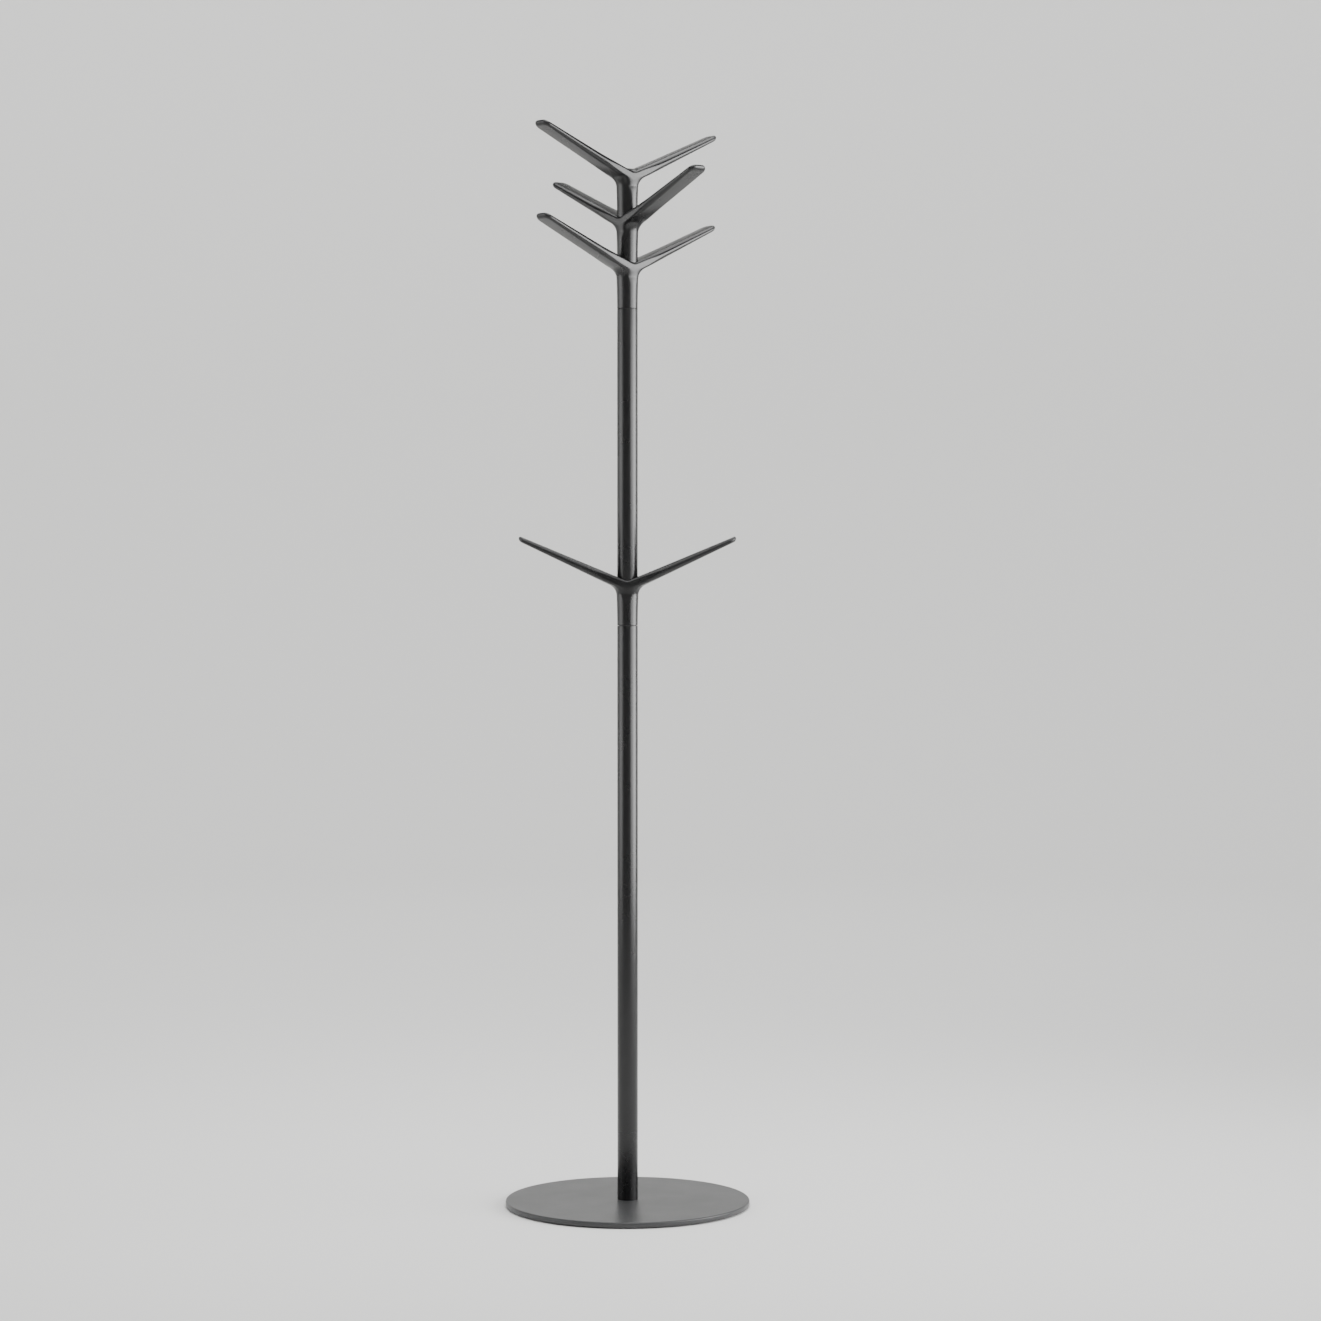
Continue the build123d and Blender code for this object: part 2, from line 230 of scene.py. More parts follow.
def coated(name, colour, gloss, peel, grain, dust, bump, specular=0.5):
    """Dark satin coat: base colour with settled dust, uneven gloss and a fine paint texture."""
    material, tree, shader, place = start_material(name)
    life = put_group(tree, HANDLING, place,
                     {"Low Roughness": gloss[0], "High Roughness": gloss[1], "Dust Amount": dust})
    texture = put_group(tree, PAINT_TEXTURE, place,
                        {"Peel Scale": peel[0], "Peel Depth": peel[1],
                         "Grain Scale": grain[0], "Grain Depth": grain[1]})
    mix = tree.nodes.new("ShaderNodeMix")
    mix.data_type = "RGBA"
    mix.inputs["A"].default_value = (*colour, 1.0)
    mix.inputs["B"].default_value = DUST_COLOUR
    tree.links.new(life.outputs["Dust"], mix.inputs["Factor"])
    tree.links.new(mix.outputs["Result"], shader.inputs["Base Color"])
    tree.links.new(life.outputs["Roughness"], shader.inputs["Roughness"])
    relief = tree.nodes.new("ShaderNodeBump")
    relief.inputs["Strength"].default_value = bump
    relief.inputs["Distance"].default_value = 0.0002
    tree.links.new(texture.outputs["Height"], relief.inputs["Height"])
    tree.links.new(relief.outputs["Normal"], shader.inputs["Normal"])
    shader.inputs["Specular IOR Level"].default_value = specular
    return material


POST_COAT = coated("satin_black_post_coat", (0.004, 0.004, 0.0045), (0.26, 0.30),
                   (300.0, 0.5), (1700.0, 0.35), 0.04, 0.20)
HOOK_COAT = coated("satin_black_hook_coat", (0.005, 0.005, 0.0055), (0.26, 0.30),
                   (220.0, 0.5), (1400.0, 0.35), 0.04, 0.18)
PLATE_COAT = coated("anthracite_plate_coat", (0.030, 0.0305, 0.032), (0.35, 0.39),
                    (420.0, 0.4), (1100.0, 0.8), 0.05, 0.30)
CAP_PLASTIC = coated("moulded_black_cap", (0.016, 0.016, 0.016), (0.38, 0.48),
                     (500.0, 0.2), (2200.0, 0.6), 0.06, 0.30)
PAD_RUBBER = coated("soft_floor_pad", (0.022, 0.022, 0.022), (0.70, 0.85),
                    (300.0, 0.3), (1800.0, 0.9), 0.02, 0.55)
RING_NYLON = coated("black_nylon", (0.03, 0.03, 0.03), (0.42, 0.52),
                    (500.0, 0.2), (1800.0, 0.4), 0.0, 0.25)
BEARING_NYLON = coated("black_bearing_nylon", (0.02, 0.02, 0.021), (0.36, 0.48),
                       (400.0, 0.3), (1600.0, 0.3), 0.0, 0.25)

# %% Bare metal finishes


def bare_metal(name, colour, gloss, stretch, bump):
    """Metal with fine tool marks: the noise is stretched so that the marks run round or along."""
    material, tree, shader, place = start_material(name)
    mapping = tree.nodes.new("ShaderNodeMapping")
    mapping.inputs["Scale"].default_value = stretch
    tree.links.new(place, mapping.inputs["Vector"])
    marks = noise_node(tree, mapping.outputs["Vector"], 90.0, 4.0, 0.6)
    life = put_group(tree, HANDLING, place, {"Low Roughness": gloss[0], "High Roughness": gloss[1]})
    tint = tree.nodes.new("ShaderNodeMix")
    tint.data_type = "RGBA"
    tint.inputs["A"].default_value = (*colour, 1.0)
    tint.inputs["B"].default_value = (*[0.72 * c for c in colour], 1.0)
    tree.links.new(marks, tint.inputs["Factor"])
    tree.links.new(tint.outputs["Result"], shader.inputs["Base Color"])
    tree.links.new(life.outputs["Roughness"], shader.inputs["Roughness"])
    relief = tree.nodes.new("ShaderNodeBump")
    relief.inputs["Strength"].default_value = bump
    relief.inputs["Distance"].default_value = 0.0001
    tree.links.new(marks, relief.inputs["Height"])
    tree.links.new(relief.outputs["Normal"], shader.inputs["Normal"])
    shader.inputs["Metallic"].default_value = 1.0
    return material


MAST_STEEL = bare_metal("drawn_mast_steel", (0.42, 0.42, 0.43), (0.30, 0.40), (8.0, 8.0, 0.4), 0.4)
TURNED_STEEL = bare_metal("turned_steel", (0.50, 0.50, 0.50), (0.24, 0.34), (1.0, 1.0, 20.0), 0.5)
ZINC_STEEL = bare_metal("zinc_plated_steel", (0.60, 0.61, 0.64), (0.28, 0.38), (3.0, 3.0, 3.0), 0.2)

# %% Dress the CAD nodes that stay
SLOT_FINISH = {
    "plate_coat": PLATE_COAT,
    "post_coat": POST_COAT,
    "hook_coat": HOOK_COAT,
    "cap_plastic": CAP_PLASTIC,
    "pad_rubber": PAD_RUBBER,
    "ring_nylon": RING_NYLON,
    "bearing_nylon": BEARING_NYLON,
    "mast_steel": MAST_STEEL,
    "turned_steel": TURNED_STEEL,
    "zinc_steel": ZINC_STEEL,
}
slot_of = {row["node"]: row["material_slot"] for row in frame["record"]["subparts"]}
for node, shape in NODES.items():
    for holder in shape.material_slots:
        holder.material = SLOT_FINISH[slot_of[node]]
print("finishes", len(SLOT_FINISH))

# %% [markdown]
# ## Turned pieces: plate and cap
#
# The base plate is cut from 8 mm sheet and its upper rim is rounded, which is what draws the bright line
# round it. The cap that closes the top hook is moulded, but just as round. Both are outlines turned
# about the post, so a small function sweeps any outline of radius and height through a full circle.
# A Screw modifier would do the same. The function is used because it closes the seam and the middle
# with shared points, so no doubles have to be merged.

# %% Turning an outline
ON_AXIS = 1e-7                     # a smaller radius than this, in metres, counts as the axis


def arc(centre, radius, start, end, steps):
    """Points of an arc in the outline's plane, angles in degrees."""
    angles = np.radians(np.linspace(start, end, steps + 1))
    return [(centre[0] + radius * cos(a), centre[1] + radius * sin(a)) for a in angles]


def turned(name, outline, segments):
    """A closed solid of revolution; an outline point on the axis becomes one shared point."""
    verts = []
    rings = []
    for r, z in outline:
        if r < ON_AXIS:
            rings.append([len(verts)] * segments)
            verts.append((0.0, 0.0, z))
            continue
        rings.append(list(range(len(verts), len(verts) + segments)))
        turns = [2 * pi * k / segments for k in range(segments)]
        verts += [(r * cos(turn), r * sin(turn), z) for turn in turns]
    pairs = list(zip(rings, rings[1:]))
    if outline[0][0] > ON_AXIS:
        pairs.append((rings[-1], rings[0]))
    faces = []
    for lower, upper in pairs:
        for k in range(segments):
            corners = (lower[k], lower[(k + 1) % segments], upper[(k + 1) % segments], upper[k])
            faces.append(tuple(dict.fromkeys(corners)))
    return show(name, verts, [face for face in faces if len(face) > 2])


def show(name, verts, faces):
    """A smooth-shaded object at the origin, with edges sharper than 50 degrees kept crisp."""
    mesh = bpy.data.meshes.new(name)
    mesh.from_pydata([tuple(v) for v in verts], [], [tuple(f) for f in faces])
    mesh.update()
    mesh.shade_smooth()
    mesh.set_sharp_from_angle(angle=radians(50))
    made = bpy.data.objects.new(name, mesh)
    bpy.context.scene.collection.objects.link(made)
    print(name, "faces", len(mesh.polygons))
    return made


def settle(piece, body, material, slot, *nodes):
    """Gives a piece its finish and its body, and hides the CAD nodes that it stands for."""
    piece.data.materials.clear()
    piece.data.materials.append(material)
    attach(piece, body)
    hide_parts(*nodes)


# %% Base plate
plate_low, plate_high = low_high("base_plate")
INSET = 0.06 * MM                  # keeps the finer rim inside the CAD plate's facets
plate_radius = outer_radius("base_plate") - INSET
PLATE_SEGMENTS = 224
UPPER_ROUND = 2.2 * MM
LOWER_BREAK = 0.8 * MM
SCREW_HOLE = 6.2 * MM
SINK_RADIUS = 12.4 * MM
RIM_STEPS = 7

rim = arc((plate_radius - UPPER_ROUND, plate_high - UPPER_ROUND), UPPER_ROUND, 0, 90, RIM_STEPS)
plate_outline = [
    (SINK_RADIUS, plate_low),
    (plate_radius * 0.5, plate_low),
    (plate_radius - 3 * LOWER_BREAK, plate_low),
    *arc((plate_radius - LOWER_BREAK, plate_low + LOWER_BREAK), LOWER_BREAK, -90, 0, 3),
    *rim,
    (plate_radius - 2 * UPPER_ROUND, plate_high),
    (plate_radius * 0.5, plate_high),
    (SCREW_HOLE, plate_high),
    (SCREW_HOLE, plate_low + SINK_RADIUS - SCREW_HOLE),
]
base = turned("base_plate_turned", plate_outline, PLATE_SEGMENTS)
settle(base, "stand", PLATE_COAT, "plate_coat", "base_plate")

# %% [markdown]
# ## Post tubes with Geometry Nodes
#
# Each post is a length of 32 mm tube, faced square in a lathe with its edges just broken. A tube is a
# closed wall outline swept round a circle, which is a rule with four sizes, so it is made as a Geometry
# Nodes tree with named inputs and used twice. The tiny rounding at each end is what makes the seams
# against the hooks read as fine dark lines.

# %% Tube tree


def tube_tree():
    """Wall outline swept round a circle: radius, wall, foot height, length and edge round."""
    tree = bpy.data.node_groups.new("swept_tube", "GeometryNodeTree")
    tree.is_modifier = True
    face = tree.interface
    face.new_socket("Geometry", in_out="INPUT", socket_type="NodeSocketGeometry")
    for socket in ("Outer Radius", "Wall", "Foot Height", "Length", "Edge Round"):
        face.new_socket(socket, in_out="INPUT", socket_type="NodeSocketFloat")
    face.new_socket("Segments", in_out="INPUT", socket_type="NodeSocketInt")
    face.new_socket("Finish", in_out="INPUT", socket_type="NodeSocketMaterial")
    face.new_socket("Geometry", in_out="OUTPUT", socket_type="NodeSocketGeometry")
    given = tree.nodes.new("NodeGroupInput").outputs
    result = tree.nodes.new("NodeGroupOutput")
    half_wall = math_node(tree, "MULTIPLY", given["Wall"], 0.5)
    middle = math_node(tree, "SUBTRACT", given["Outer Radius"], half_wall)
    circle = tree.nodes.new("GeometryNodeCurvePrimitiveCircle")
    tree.links.new(middle, circle.inputs["Radius"])
    tree.links.new(given["Segments"], circle.inputs["Resolution"])
    wall = tree.nodes.new("GeometryNodeCurvePrimitiveQuadrilateral")
    tree.links.new(given["Wall"], wall.inputs["Width"])
    tree.links.new(given["Length"], wall.inputs["Height"])
    eased = tree.nodes.new("GeometryNodeFilletCurve")
    eased.mode = "POLY"
    eased.inputs["Count"].default_value = 3
    tree.links.new(wall.outputs["Curve"], eased.inputs["Curve"])
    tree.links.new(given["Edge Round"], eased.inputs["Radius"])
    sweep = tree.nodes.new("GeometryNodeCurveToMesh")
    tree.links.new(circle.outputs["Curve"], sweep.inputs["Curve"])
    tree.links.new(eased.outputs["Curve"], sweep.inputs["Profile Curve"])
    lift = tree.nodes.new("GeometryNodeTransform")
    offset = tree.nodes.new("ShaderNodeCombineXYZ")
    half = math_node(tree, "MULTIPLY", given["Length"], 0.5)
    tree.links.new(math_node(tree, "ADD", given["Foot Height"], half), offset.inputs["Z"])
    tree.links.new(sweep.outputs["Mesh"], lift.inputs["Geometry"])
    tree.links.new(offset.outputs["Vector"], lift.inputs["Translation"])
    smooth = tree.nodes.new("GeometryNodeSetShadeSmooth")
    tree.links.new(lift.outputs["Geometry"], smooth.inputs["Geometry"])
    real = tree.nodes.new("GeometryNodeRealizeInstances")
    tree.links.new(smooth.outputs["Geometry"], real.inputs["Geometry"])
    paint = tree.nodes.new("GeometryNodeSetMaterial")
    tree.links.new(real.outputs["Geometry"], paint.inputs["Geometry"])
    tree.links.new(given["Finish"], paint.inputs["Material"])
    tree.links.new(paint.outputs["Geometry"], result.inputs["Geometry"])
    return tree


def grow(name, tree, values):
    """Runs a geometry tree with the given named inputs and keeps its result as a plain mesh."""
    seed = bpy.data.objects.new(name, bpy.data.meshes.new(name + "_seed"))
    bpy.context.scene.collection.objects.link(seed)
    rule = seed.modifiers.new("rule", "NODES")
    rule.node_group = tree
    for item in tree.interface.items_tree:
        if item.item_type == "SOCKET" and item.in_out == "INPUT" and item.name in values:
            rule[item.identifier] = values[item.name]
    evaluated = seed.evaluated_get(bpy.context.evaluated_depsgraph_get())
    seed.data = bpy.data.meshes.new_from_object(evaluated)
    seed.modifiers.remove(rule)
    seed.data.set_sharp_from_angle(angle=radians(50))
    print(name, "faces", len(seed.data.polygons))
    return seed


# %% Both posts
TUBE_TREE = tube_tree()
TUBE_WALL = 2.0 * MM
TUBE_EDGE = 0.35 * MM
for node in ("lower_post", "upper_post"):
    foot, head = low_high(node)
    tube = grow(node + "_tube", TUBE_TREE, {
        "Outer Radius": outer_radius(node),
        "Wall": TUBE_WALL,
        "Foot Height": foot,
        "Length": head - foot,
        "Edge Round": TUBE_EDGE,
        "Segments": 160,
        "Finish": POST_COAT,
    })
    settle(tube, "stand", POST_COAT, "post_coat", node)

# %% [markdown]
# ## Floor pads with Geometry Nodes
#
# Six stick-on pads carry the plate just clear of the floor. They are one shape repeated on a circle,
# which is what instances are for: a small round pad is built once and placed on the points of a circle.

# %% Pads
PAD_RADIUS = 12.0 * MM
PAD_COUNT = 6
PAD_TAPER = 0.35                   # how much of its radius a pad loses towards its two faces


def pad_tree():
    """A round pad with a softened lower edge, placed on the points of a circle."""
    tree = bpy.data.node_groups.new("pads_on_a_circle", "GeometryNodeTree")
    tree.is_modifier = True
    face = tree.interface
    face.new_socket("Geometry", in_out="INPUT", socket_type="NodeSocketGeometry")
    for socket in ("Pad Radius", "Thickness", "Circle Radius"):
        face.new_socket(socket, in_out="INPUT", socket_type="NodeSocketFloat")
    face.new_socket("Count", in_out="INPUT", socket_type="NodeSocketInt")
    face.new_socket("Finish", in_out="INPUT", socket_type="NodeSocketMaterial")
    face.new_socket("Geometry", in_out="OUTPUT", socket_type="NodeSocketGeometry")
    given = tree.nodes.new("NodeGroupInput").outputs
    result = tree.nodes.new("NodeGroupOutput")
    edge = tree.nodes.new("GeometryNodeMeshCylinder")
    edge.fill_type = "NGON"
    edge.inputs["Vertices"].default_value = 48
    edge.inputs["Side Segments"].default_value = 6
    tree.links.new(given["Pad Radius"], edge.inputs["Radius"])
    tree.links.new(given["Thickness"], edge.inputs["Depth"])
    place = tree.nodes.new("GeometryNodeInputPosition")
    parts = tree.nodes.new("ShaderNodeSeparateXYZ")
    tree.links.new(place.outputs["Position"], parts.inputs["Vector"])
    depth = math_node(tree, "DIVIDE", parts.outputs["Z"], given["Thickness"])
    edgeward = math_node(tree, "POWER", math_node(tree, "ABSOLUTE", depth), 3.0)
    bulge = math_node(tree, "MULTIPLY", edgeward, -PAD_TAPER)
    shrink = math_node(tree, "ADD", bulge, 1.0)
    joined = tree.nodes.new("ShaderNodeCombineXYZ")
    tree.links.new(math_node(tree, "MULTIPLY", parts.outputs["X"], shrink), joined.inputs["X"])
    tree.links.new(math_node(tree, "MULTIPLY", parts.outputs["Y"], shrink), joined.inputs["Y"])
    half = math_node(tree, "MULTIPLY", given["Thickness"], 0.5)
    tree.links.new(math_node(tree, "ADD", parts.outputs["Z"], half), joined.inputs["Z"])
    shape = tree.nodes.new("GeometryNodeSetPosition")
    tree.links.new(edge.outputs["Mesh"], shape.inputs["Geometry"])
    tree.links.new(joined.outputs["Vector"], shape.inputs["Position"])
    circle = tree.nodes.new("GeometryNodeMeshCircle")
    tree.links.new(given["Count"], circle.inputs["Vertices"])
    tree.links.new(given["Circle Radius"], circle.inputs["Radius"])
    spread = tree.nodes.new("GeometryNodeInstanceOnPoints")
    tree.links.new(circle.outputs["Mesh"], spread.inputs["Points"])
    tree.links.new(shape.outputs["Geometry"], spread.inputs["Instance"])
    real = tree.nodes.new("GeometryNodeRealizeInstances")
    tree.links.new(spread.outputs["Instances"], real.inputs["Geometry"])
    paint = tree.nodes.new("GeometryNodeSetMaterial")
    tree.links.new(real.outputs["Geometry"], paint.inputs["Geometry"])
    tree.links.new(given["Finish"], paint.inputs["Material"])
    tree.links.new(paint.outputs["Geometry"], result.inputs["Geometry"])
    return tree


pads = grow("floor_pads_round", pad_tree(), {
    "Pad Radius": PAD_RADIUS,
    "Thickness": low_high("floor_pads")[1],
    "Circle Radius": outer_radius("floor_pads") - PAD_RADIUS,
    "Count": PAD_COUNT,
    "Finish": PAD_RUBBER,
})
settle(pads, "stand", PAD_RUBBER, "pad_rubber", "floor_pads")

# %% [markdown]
# ## The hook, as a distance field
#
# Each hook is one casting: a sleeve that swells like a trumpet into a bowl, from which everything has
# been cut away but two flat-sided arms. Its edges are all soft and run into one another. Such a shape
# could be a subdivision cage, but the round neck meeting flat arms needs careful hand-placed loops, and
# booleans with bevels break where several edges meet. A distance field says the shape as a rule: for
# any point it gives how far outside the metal the point lies. Rounding an edge is then one formula, and
# the zero surface is drawn out as quads by a method called surface nets.

# %% Sizes of the hook, in millimetres
TUBE_R = outer_radius("lower_post") / MM
SADDLE_Z = 68.8
SADDLE_ROUND = 2.0
TOP_SLOPE = radians(22.6)
UNDER_SLOPE = radians(25.7)
NECK_R = 16.9
UNDER_Z = 57.4
UNDER_R = 19.0
ROOT_HALF = 18.0
TIP_HALF = 16.5
TIP_CORNER = 10.0
ROOT_EDGE = 3.4
ARM_EDGE = 6.5
CROWN = 0.7
EDGE_SHARE = 0.44                  # the most of the arm's thickness that an edge may take
BLEND_FROM = 16.0                  # the edges grow from here, measured from the axis
BLEND_OVER = 45.0                  # and are full size this much further out
FLARE = 0.13
FLARE_TOP = 62.0                   # the web under the arms narrows below this height
FLARE_DEPTH = 14.0
NECK_FREE_Z = 48.0                 # below this the arms' flat sides spread clear of the neck
NECK_SPREAD = 0.3
SADDLE_DROP = 0.12                 # keeps the tips just under the CAD model's top
FOOT_ROUND = 0.4
TIP_INSET = 0.35
REACH_MM = REACH / MM - TIP_INSET
BORE_R = outer_radius("upper_bush_mid") / MM
BUSH_R = 12.0
SOCKET_R = 16.4
SOCKET_FLOOR = low_high("upper_bush_mid")[1] / MM - rim_height["mid"] / MM
TOP_FLANGE = low_high("upper_bush_top")[1] / MM - rim_height["top"] / MM
FLANGE_T = 2.0
POCKET_TOP = 3.5
LIP_ROUND = 0.8

TURN = pi / 2 - UNDER_SLOPE
TANGENT = UNDER_R * tan(TURN / 2)
ARC_X = NECK_R + UNDER_R
ARC_Z = UNDER_Z - TANGENT
JOIN_X = NECK_R + TANGENT * cos(UNDER_SLOPE)
JOIN_Z = UNDER_Z + TANGENT * sin(UNDER_SLOPE)

# %% The field


def meet(a, b, r):
    """Both shapes at once, with the edge between them rounded to radius r."""
    inside = np.minimum(np.maximum(a, b), -r)
    return inside + np.hypot(np.maximum(a + r, 0), np.maximum(b + r, 0))


def trumpet(rho, z):
    """Distance to the turned underside: neck, then a round fillet, then a straight flare."""
    neck = rho - (TUBE_R + (NECK_R - TUBE_R) * np.clip(z / ARC_Z, 0, 1) ** 2)
    fillet = UNDER_R - np.hypot(rho - ARC_X, z - ARC_Z)
    along = (rho - JOIN_X) * cos(UNDER_SLOPE) + (z - JOIN_Z) * sin(UNDER_SLOPE)
    flare = (rho - JOIN_X) * sin(UNDER_SLOPE) - (z - JOIN_Z) * cos(UNDER_SLOPE)
    return np.where(z < ARC_Z, neck, np.where((along > 0) | (rho > ARC_X), flare, fillet))


def half_width(x):
    """Half the arm's width at a distance x from the post's axis."""
    return ROOT_HALF + (TIP_HALF - ROOT_HALF) * np.abs(x) / REACH_MM


def hook_field(x, y, z, flange_top):
    """Distance outside the hook's metal, in millimetres, with the arms along X."""
    half = half_width(x)
    x = np.abs(x)
    y = np.abs(y)
    rho = np.hypot(x, y)
    thick = SADDLE_Z + x * tan(TOP_SLOPE) - UNDER_Z - (x - NECK_R) * tan(UNDER_SLOPE)
    away = np.clip((x - BLEND_FROM) / BLEND_OVER, 0, 1)
    most = ROOT_EDGE + (ARM_EDGE - ROOT_EDGE) * away * away * (3 - 2 * away)
    edge = np.clip(EDGE_SHARE * thick, 2.0, most)
    top = (z - SADDLE_Z + SADDLE_DROP - np.hypot(x * tan(TOP_SLOPE), SADDLE_ROUND)) * cos(TOP_SLOPE)
    top = top + CROWN * (y / half) ** 2
    side = y - half + FLARE * np.clip(FLARE_TOP - z, 0, FLARE_DEPTH)
    side = side - NECK_SPREAD * np.maximum(NECK_FREE_Z - z, 0)
    plan = meet(side, x - REACH_MM, TIP_CORNER)
    body = meet(meet(plan, trumpet(rho, z), edge), top, edge)
    body = meet(body, -z, FOOT_ROUND)
    body = meet(body, -np.maximum(rho - SOCKET_R, SOCKET_FLOOR - z), LIP_ROUND)
    pocket = np.maximum(rho - BORE_R, np.minimum(z - POCKET_TOP, flange_top - FLANGE_T - z))
    return np.maximum(body, -np.minimum(rho - BUSH_R, pocket))


# %% [markdown]
# ## Surface nets
#
# The field is sampled on a grid that is fine about the neck and coarser along the plain arms. Every
# grid cell that the surface crosses gets one point, at the average of its crossings, and every grid
# edge that the surface crosses joins four of those points into a quad. A few Newton steps then pull
# each point exactly on to the surface, so the mesh is as smooth as the formula and not as the grid.

# %% Drawing out the zero surface


def graded(stops):
    """Grid lines from (end, step) pairs, starting at the first end."""
    lines = [stops[0]]
    for end, step in stops[1:]:
        count = max(1, round((end - lines[-1]) / step))
        lines += list(np.linspace(lines[-1], end, count + 1)[1:])
    return np.array(lines)


def surface_nets(field, xs, ys, zs):
    """Points and quads of the field's zero surface on a rectilinear grid."""
    values = field(xs[:, None, None], ys[None, :, None], zs[None, None, :])
    inside = values < 0
    shape = tuple(n - 1 for n in values.shape)
    total = np.zeros(shape + (3,))
    count = np.zeros(shape)
    corner = np.meshgrid(xs, ys, zs, indexing="ij")
    for axis in range(3):
        others = [a for a in range(3) if a != axis]
        for shift in ((0, 0), (0, 1), (1, 0), (1, 1)):
            start = [slice(0, n) for n in shape]
            for other, step in zip(others, shift):
                start[other] = slice(step, shape[other] + step)
            stop = list(start)
            stop[axis] = slice(1, shape[axis] + 1)
            start, stop = tuple(start), tuple(stop)
            crossed = inside[start] != inside[stop]
            a, b = values[start], values[stop]
            share = np.where(crossed, a / np.where(crossed, a - b, 1), 0)
            for k in range(3):
                point = corner[k][start] + share * (corner[k][stop] - corner[k][start])
                total[..., k] += np.where(crossed, point, 0)
            count += crossed
    active = count > 0
    number = np.full(shape, -1)
    number[active] = np.arange(active.sum())
    points = total[active] / count[active][:, None]
    quads = []
    for axis in range(3):
        b, c = [(axis + 1) % 3, (axis + 2) % 3]
        low = [slice(None)] * 3
        high = [slice(None)] * 3
        low[axis], high[axis] = slice(0, -1), slice(1, None)
        for other in (b, c):
            low[other] = high[other] = slice(1, -1)
        first, second = inside[tuple(low)], inside[tuple(high)]
        for out_first, change in ((False, first & ~second), (True, ~first & second)):
            at = np.argwhere(change)
            at[:, b] += 1
            at[:, c] += 1
            ring = []
            for db, dc in ((-1, -1), (0, -1), (0, 0), (-1, 0)):
                cell = at.copy()
                cell[:, b] += db
                cell[:, c] += dc
                ring.append(number[tuple(cell.T)])
            quad = np.stack(ring if not out_first else ring[::-1], axis=1)
            quads.append(quad)
    return points, np.concatenate(quads)


def pull_on(field, points, rounds=6, small=0.02):
    """Newton steps along the field's slope, each kept short so that no point crosses an edge."""
    for _ in range(rounds):
        x, y, z = points.T
        here = field(x, y, z)
        slope = np.stack([
            field(x + small, y, z) - field(x - small, y, z),
            field(x, y + small, z) - field(x, y - small, z),
            field(x, y, z + small) - field(x, y, z - small),
        ], axis=1) / (2 * small)
        size = np.maximum((slope**2).sum(axis=1), 0.3)
        step = -here[:, None] * slope / size[:, None]
        points = points + np.clip(step, -0.35, 0.35)
    return points


# %% One hook mesh
far = REACH_MM + 1.5
grid_x = graded([-far, (-26, 1.7), (26, 0.75), (far, 1.7)])
grid_y = graded([-20, (20, 0.8)])
grid_z = graded([-1.2, (4.8, 0.6), (48, 1.8), (86, 0.8), (HUB_HEIGHT / MM + 1.5, 1.15)])


def hook_mesh(flange_top):
    """Points and quads of a hook whose upper bush flange has its face at the given height.

    The grid narrows with the arms, so that their sides run between its lines and never across one.
    """
    def field(x, y, z):
        return hook_field(x, y, z, flange_top)

    def narrowed(x, y, z):
        return field(x, y * half_width(x) / ROOT_HALF, z)

    points, quads = surface_nets(narrowed, grid_x, grid_y, grid_z)
    points[:, 1] *= half_width(points[:, 0]) / ROOT_HALF
    points = pull_on(field, points)
    print("hook points", len(points), "quads", len(quads), "tallest", round(points[:, 2].max(), 2))
    return points, quads


stacking_hook = hook_mesh(SOCKET_FLOOR)
capped_hook = hook_mesh(TOP_FLANGE)

# %% Four hooks in their places


def placed(points, turn, lift):
    """Hook points in metres, turned about the post and lifted to their rim's height."""
    x, y, z = points.T * MM
    return np.stack([x * cos(turn) - y * sin(turn), x * sin(turn) + y * cos(turn), z + lift], axis=1)


for hook in HOOKS:
    points, quads = capped_hook if hook == "top" else stacking_hook
    verts = placed(points, direction[hook], rim_height[hook])
    shape = show(f"{hook}_hook_casting", verts, quads)
    settle(shape, f"{hook}_hook", HOOK_COAT, "hook_coat", f"hook_hub_{hook}")

# %% [markdown]
# ## The cap
#
# A low crowned plug closes the socket of the top hook and hides the nut. It is turned like the plate.

# %% Cap
cap_low, cap_high = low_high("top_cap")
cap_radius = outer_radius("top_cap")
CAP_WALL = 1.6 * MM
CAP_SHOULDER = 2.2 * MM
CAP_ROUND = 0.9 * MM
shoulder = cap_high - CAP_SHOULDER
crown_steps = np.linspace(0, 1, 9)[1:]
crown = [
    ((cap_radius - CAP_ROUND) * (1 - t), shoulder + CAP_SHOULDER * (1 - (1 - t) ** 2)) for t in crown_steps
]
cap_outline = [
    (0.0, cap_high - CAP_WALL),
    (cap_radius - CAP_WALL - 2 * MM, cap_high - CAP_WALL - 0.4 * MM),
    (cap_radius - CAP_WALL, cap_high - CAP_WALL - 2.4 * MM),
    (cap_radius - CAP_WALL, cap_low),
    (cap_radius, cap_low),
    *arc((cap_radius - CAP_ROUND, shoulder - CAP_ROUND), CAP_ROUND, 0, 90, 4),
    *crown,
]
cap = turned("top_cap_turned", cap_outline, 96)
settle(cap, "top_hook", CAP_PLASTIC, "cap_plastic", "top_cap")

# %% [markdown]
# ## Stage, light and camera
#
# A black object shows its shape only by what it reflects. The floor sweeps up into a plain pale wall
# that goes all the way round, so the rack can be looked at from any side. The lamps are hidden from the
# camera for the same reason. A tall soft light stands to the right and a weaker one to the left, so the
# post carries a bright band, a dark middle and a dim band. A light from above draws the upper edges of
# the arms.

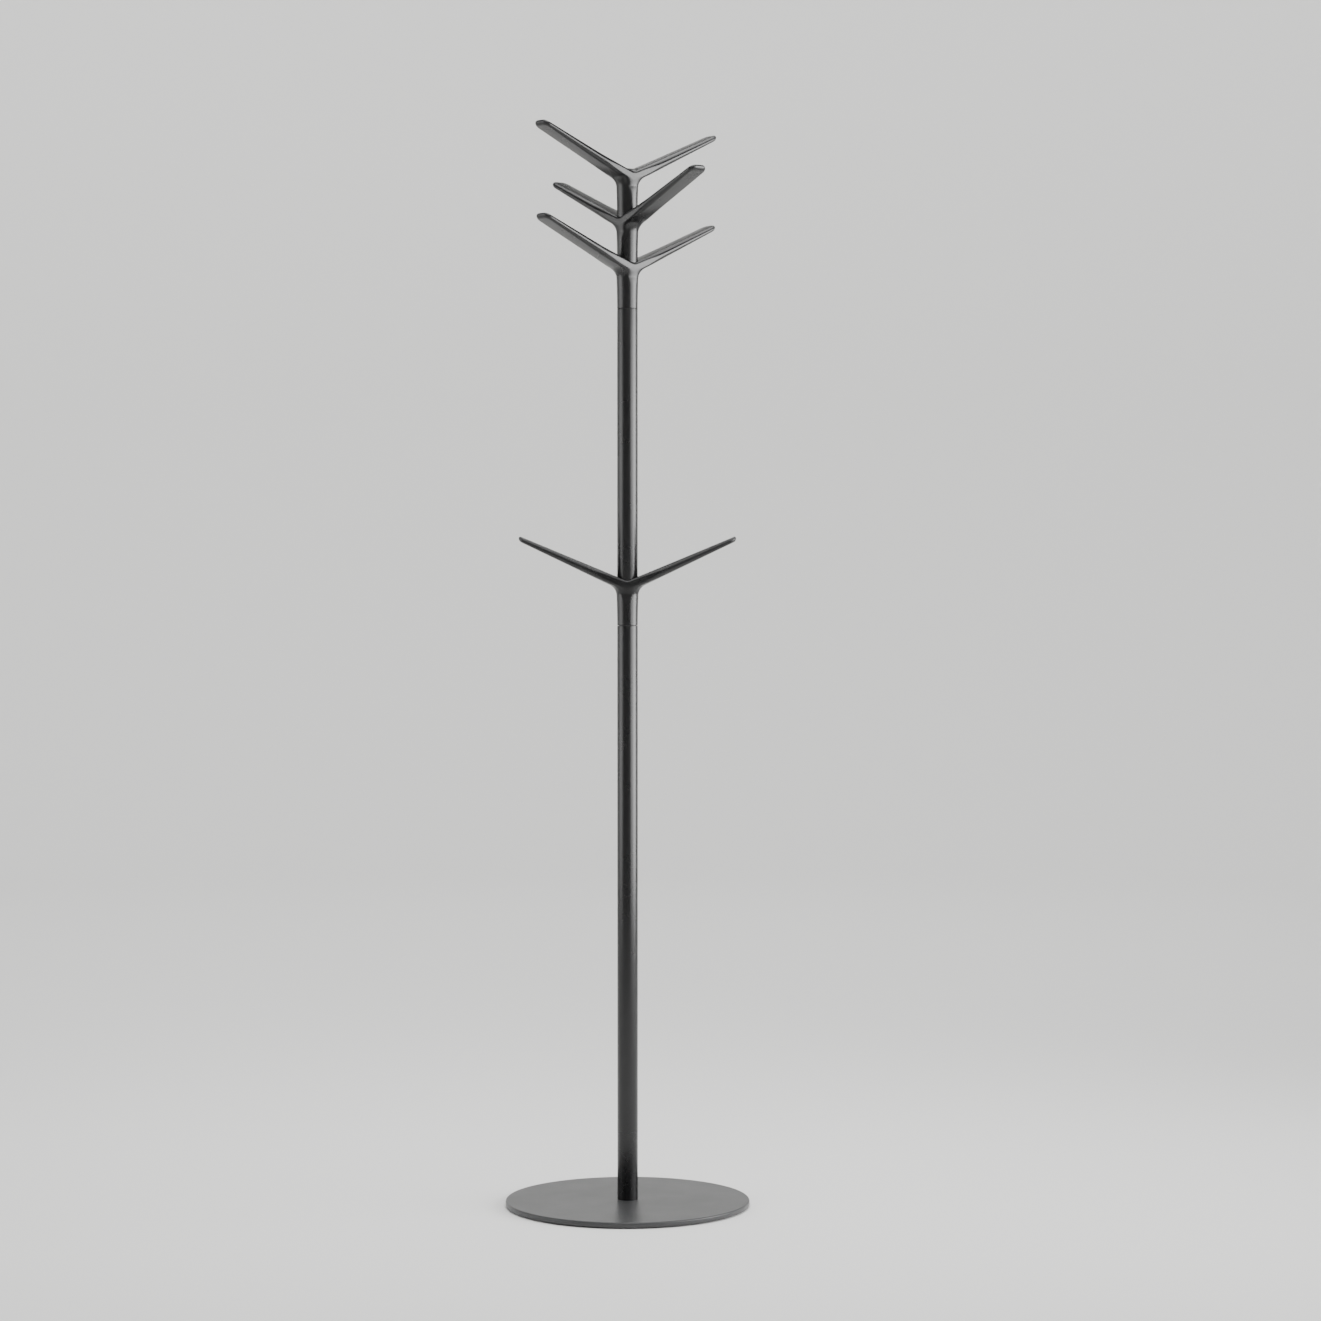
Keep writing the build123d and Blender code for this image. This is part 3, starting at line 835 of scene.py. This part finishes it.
# %% Floor and backdrop
FLOOR_COLOUR = (0.80, 0.80, 0.79, 1.0)
floor_material, _, floor_shader, _ = start_material("pale_floor")
floor_shader.inputs["Base Color"].default_value = FLOOR_COLOUR
floor_shader.inputs["Roughness"].default_value = 0.9
ROOM_R = 7.0
SWEEP_R = 1.6
ROOM_HEIGHT = 5.0
room_outline = [(0.0, 0.0), (1.0, 0.0), (ROOM_R - SWEEP_R, 0.0)]
room_outline += arc((ROOM_R - SWEEP_R, SWEEP_R), SWEEP_R, -90, 0, 24)[1:]
room_outline += [(ROOM_R, ROOM_HEIGHT)]
ROOM_SEGMENTS = 128
room = turned("pale_round_room", room_outline, ROOM_SEGMENTS)
room.data.flip_normals()
room.data.materials.append(floor_material)

# %% Lights


def soft_light(name, place, aim, width, height, power, spread=180):
    """A rectangular area light aimed at a point; a narrow spread keeps its light off the floor."""
    data = bpy.data.lights.new(name, "AREA")
    data.shape = "RECTANGLE"
    data.size = width
    data.size_y = height
    data.energy = power
    data.spread = radians(spread)
    lamp = bpy.data.objects.new(name, data)
    lamp.location = place
    lamp.rotation_euler = (Vector(aim) - Vector(place)).to_track_quat("-Z", "Y").to_euler()
    lamp.visible_camera = False
    bpy.context.scene.collection.objects.link(lamp)


MIDDLE = (0.0, 0.0, 1.05)


def around(azimuth, distance, height):
    """A place at an angle from the camera side, positive to the right."""
    return (distance * sin(radians(azimuth)), -distance * cos(radians(azimuth)), height)


soft_light("right_softbox", around(85, 2.5, 1.25), MIDDLE, 2.1, 2.0, 38, 84)
soft_light("right_front_fill", around(50, 3.0, 1.3), MIDDLE, 1.5, 2.2, 14, 90)
soft_light("left_softbox", around(-78, 2.5, 1.25), MIDDLE, 2.4, 2.0, 10, 84)
soft_light("front_top", (0.0, -3.0, 3.7), MIDDLE, 3.0, 1.3, 40)
soft_light("overhead", (0.1, -0.1, 4.0), MIDDLE, 3.4, 3.0, 165)
soft_light("backdrop_wash", (0.0, 3.0, 4.8), (0.0, 7.0, 1.0), 7.0, 1.2, 270)
world = bpy.data.worlds.new("dim_room")
world.use_nodes = True
world.node_tree.nodes["Background"].inputs["Color"].default_value = (0.5, 0.5, 0.5, 1.0)
world.node_tree.nodes["Background"].inputs["Strength"].default_value = 0.10
bpy.context.scene.world = world

# %% Camera
LENS_MM = 93.55
SENSOR_MM = 36.0
EYE = (0.0512, -5.32, 1.026)
TILT_DOWN = radians(1.9)
lens = bpy.data.cameras.new("eye")
lens.sensor_width = SENSOR_MM
lens.lens = LENS_MM
camera = bpy.data.objects.new("eye", lens)
camera.location = EYE
camera.rotation_euler = (pi / 2 - TILT_DOWN, 0.0, 0.0)
bpy.context.scene.collection.objects.link(camera)
bpy.context.scene.camera = camera
print("lens", LENS_MM, "mm at", EYE)
